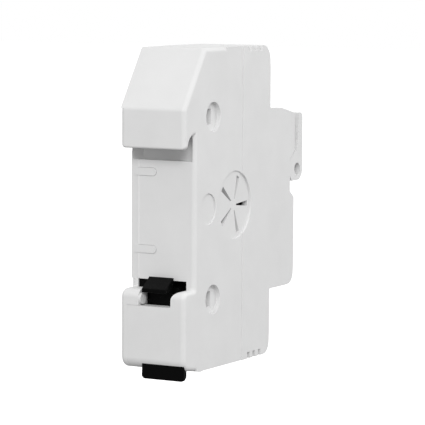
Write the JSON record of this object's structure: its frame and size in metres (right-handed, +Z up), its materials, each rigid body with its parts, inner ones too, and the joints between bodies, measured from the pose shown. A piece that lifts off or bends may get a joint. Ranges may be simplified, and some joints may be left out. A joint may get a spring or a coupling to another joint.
{
  "type": "fuse disconnector",
  "caption": "Slim rail-mounted fuse disconnector: grey moulded housing with rail hook and slider, swing-out carrier for a cylindrical fuse link, screw terminals above and below.",
  "frame": {"origin": "middle of the rail seat: on the plane of the rail's flanges, on the rail's centre line, mid-width of the module", "axes": "+X across the module along the rail, +Y to the rail (rear), +Z up; the handle faces -Y"},
  "size_m": [0.0176, 0.0601, 0.0774],
  "materials": {
    "shell": "pale grey moulded thermoplastic, fine satin",
    "carrier": "pale grey moulded thermoplastic, fine satin",
    "slider": "black moulded thermoplastic, satin",
    "fuse_ceramic": "white glazed ceramic",
    "fuse_cap": "bright plated cap",
    "contact_copper": "stamped copper strip",
    "spring_steel": "spring steel",
    "plated_steel": "zinc-plated steel"
  },
  "bodies": {
    "housing": {"housing_body": "shell", "housing_cover": "shell", "slider_spring": "spring_steel", "contact_upper": "contact_copper", "contact_lower": "contact_copper", "jaw_spring_upper": "spring_steel", "jaw_spring_lower": "spring_steel", "terminal_cage_upper": "plated_steel", "terminal_cage_lower": "plated_steel"},
    "carrier": {"fuse_carrier": "carrier", "fuse_tube": "fuse_ceramic", "fuse_cap_upper": "fuse_cap", "fuse_cap_lower": "fuse_cap"},
    "slider": {"rail_slider": "slider"},
    "clamp_upper": {"clamp_plate_upper": "plated_steel"},
    "screw_upper": {"terminal_screw_upper": "plated_steel"},
    "clamp_lower": {"clamp_plate_lower": "plated_steel"},
    "screw_lower": {"terminal_screw_lower": "plated_steel"}
  },
  "joints": [
    {"name": "carrier_swing", "type": "hinge", "parent": "housing", "child": "carrier", "pos_m": [0, -0.0464, -0.0172], "axis": [1, 0, 0], "range_deg": [0, 75]},
    {"name": "slider_pull", "type": "slide", "parent": "housing", "child": "slider", "axis": [0, 0, -1], "range_m": [0, 0.0024], "stiffness_N_per_m": 800, "springref_m": -0.004, "deforming": ["slider_spring"]},
    {"name": "clamp_upper", "type": "slide", "parent": "housing", "child": "clamp_upper", "axis": [0, 1, 0], "range_m": [0, 0.0039]},
    {"name": "screw_upper", "type": "hinge", "parent": "clamp_upper", "child": "screw_upper", "pos_m": [0, -0.03535, 0.02987], "axis": [0, 1, 0], "range_deg": [0, 1760]},
    {"name": "clamp_lower", "type": "slide", "parent": "housing", "child": "clamp_lower", "axis": [0, 1, 0], "range_m": [0, 0.0039]},
    {"name": "screw_lower", "type": "hinge", "parent": "clamp_lower", "child": "screw_lower", "pos_m": [0, -0.03535, -0.02987], "axis": [0, 1, 0], "range_deg": [0, 1760]}
  ],
  "couplings": [
    {"joint": "screw_upper", "follows": "clamp_upper", "rad_per_m": 7854},
    {"joint": "screw_lower", "follows": "clamp_lower", "rad_per_m": 7854}
  ]
}
